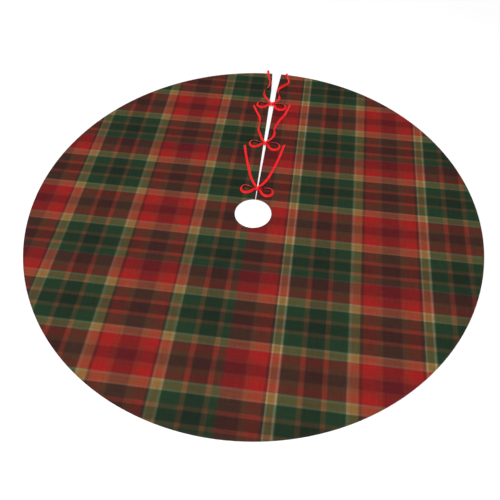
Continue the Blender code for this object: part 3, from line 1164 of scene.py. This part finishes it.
# %% Topstitching
OUTER_STEPS = 360
HOLE_STEPS = 60
SLIT_STEPS = 60
THREAD_OFF_FACE = 0.06 * MM
THREAD_UNDER = 0.22 * MM  # the height of the row on the lining


def arc(radius, start, end, steps):
    return [on_circle(radius, start + (end - start) * i / steps) for i in range(steps + 1)]


def stitch_path(inset):
    """The closed line a fixed distance inside every edge, as flat points."""
    outer = SKIRT_RADIUS - inset
    inner = HOLE_RADIUS + inset
    outer_end = math.acos((slit_half_width(outer) + inset) / outer)
    inner_end = math.acos((slit_half_width(inner) + inset) / inner)
    radii = [outer + (inner - outer) * i / SLIT_STEPS for i in range(1, SLIT_STEPS)]
    slit = beside_slit(radii, inset)
    return (
        arc(outer, outer_end, -math.pi - outer_end, OUTER_STEPS)
        + [(-x, y) for x, y in slit]
        + arc(inner, math.pi - inner_end, 2 * math.pi + inner_end, HOLE_STEPS)
        + slit[::-1]
    )


def on_face(x, y):
    return x, y, face_heights(x, y, edge_distance(x, y))[0] + THREAD_OFF_FACE


flat_path = stitch_path(STITCH_INSET)
flat_path.append(flat_path[0])
seam_thread = make_thread("seam_thread", THREAD_LIGHT, THREAD_SHADE)
top_row = sew("topstitch_face", [[on_face(x, y) for x, y in flat_path]], seam_thread)
low_row = sew("topstitch_lining", [[(x, y, THREAD_UNDER) for x, y in flat_path]], seam_thread)

# %% [markdown]
# ### Bar tacks
#
# A bar tack is a short, dense zigzag that holds a tie's sewn end. It uses the same
# tree, with the stitches close together and turned a quarter turn across the path.

# %% Bar tacks
TACK_X = 12.5 * MM
TACK_LENGTH = 6.0 * MM
TACK_HEIGHT = 2.66 * MM


def tack_path(x, y):
    half = TACK_LENGTH / 2
    return [(x, y - half, TACK_HEIGHT), (x, y + half, TACK_HEIGHT)]


tack_thread = make_thread("tack_thread", TACK_LIGHT, TACK_SHADE)
tack_places = [(side * TACK_X, place) for place in BOWS.values() for side in SIDES.values()]
tacks = sew(
    "bar_tacks",
    [tack_path(x, y) for x, y in tack_places],
    tack_thread,
    Spacing=0.42 * MM,
    Stitch_Length=1.9 * MM,
    Thread_Width=0.5 * MM,
    Thread_Height=0.42 * MM,
    Turn=math.pi / 2,
)

# %% [markdown]
# ## Floor and light
#
# The floor is plain and pale. The light is a bright, even surround with one large soft
# lamp, so the colours of the cloth show as they are and the ribbons still get a little
# shape. The Standard view transform keeps those colours, where a film-like one would
# grey them.

# %% Floor, world and lamp
FLOOR_HALF = 7.0
FLOOR_SHADE = (0.92, 0.92, 0.92, 1.0)
FLOOR_LIGHT = (0.95, 0.95, 0.95, 1.0)
WORLD_STRENGTH = 0.92
LAMP_PLACE = (-0.7, -1.6, 2.4)
LAMP_SIZE = 2.2
LAMP_POWER = 36.0


def make_floor():
    around = ((-1, -1), (1, -1), (1, 1), (-1, 1))
    corners = [(x * FLOOR_HALF, y * FLOOR_HALF, 0.0) for x, y in around]
    floor = mesh_object("floor", corners, [(0, 1, 2, 3)])
    material, tree, shader = new_material("floor_paint", 0.9, Specular_IOR_Level=0.1)
    place = shader_node(tree, "TexCoord").outputs["Object"]
    mottle = stretched_noise(tree, place, (6.0, 6.0, 6.0))
    colour = blend_colours(tree, mottle, FLOOR_SHADE, FLOOR_LIGHT)
    tree.links.new(colour, shader.inputs["Base Color"])
    floor.data.materials.append(material)
    return floor


def make_light():
    world = bpy.data.worlds.new("surround")
    world.use_nodes = True
    background = world.node_tree.nodes["Background"]
    background.inputs["Color"].default_value = (1.0, 1.0, 1.0, 1.0)
    background.inputs["Strength"].default_value = WORLD_STRENGTH
    bpy.context.scene.world = world
    lamp = add_object("lamp", bpy.data.lights.new("lamp", "AREA"))
    lamp.data.shape = "DISK"
    lamp.data.size = LAMP_SIZE
    lamp.data.energy = LAMP_POWER
    lamp.location = LAMP_PLACE
    lamp.rotation_euler = (-lamp.location).to_track_quat("-Z", "Y").to_euler()
    return lamp


floor = make_floor()
lamp = make_light()
bpy.context.scene.view_settings.view_transform = "Standard"

# %% [markdown]
# ## Which body carries what
#
# The ties, knots and tacks ride on the back half. The cloth and its topstitching cross
# the fold, where the cloth turns over a strip 12 mm wide. They are not put on a body:
# their transforms are applied where they were made, and the plain CAD cloth is hidden.


def carry_tie(bow, side_name):
    tie = ties[bow, side_name]
    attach(tie, "back_half")
    stem = f"{bow}_{side_name}"
    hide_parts(stem + "_stub", stem + "_loop", stem + "_tail")


for bow in BOWS:
    for side_name in SIDES:
        carry_tie(bow, side_name)
    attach(knots[bow], "back_half")
    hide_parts(bow + "_knot")

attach(tacks, "back_half")
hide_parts(*(f"{bow}_{side}_tack" for bow in BOWS for side in SIDES))

for cloth, stem in ((face, "face"), (lining, "lining")):
    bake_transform(cloth)
    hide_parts(stem + "_front", stem + "_back_left", stem + "_back_right")
for row in (top_row, low_row):
    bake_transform(row)
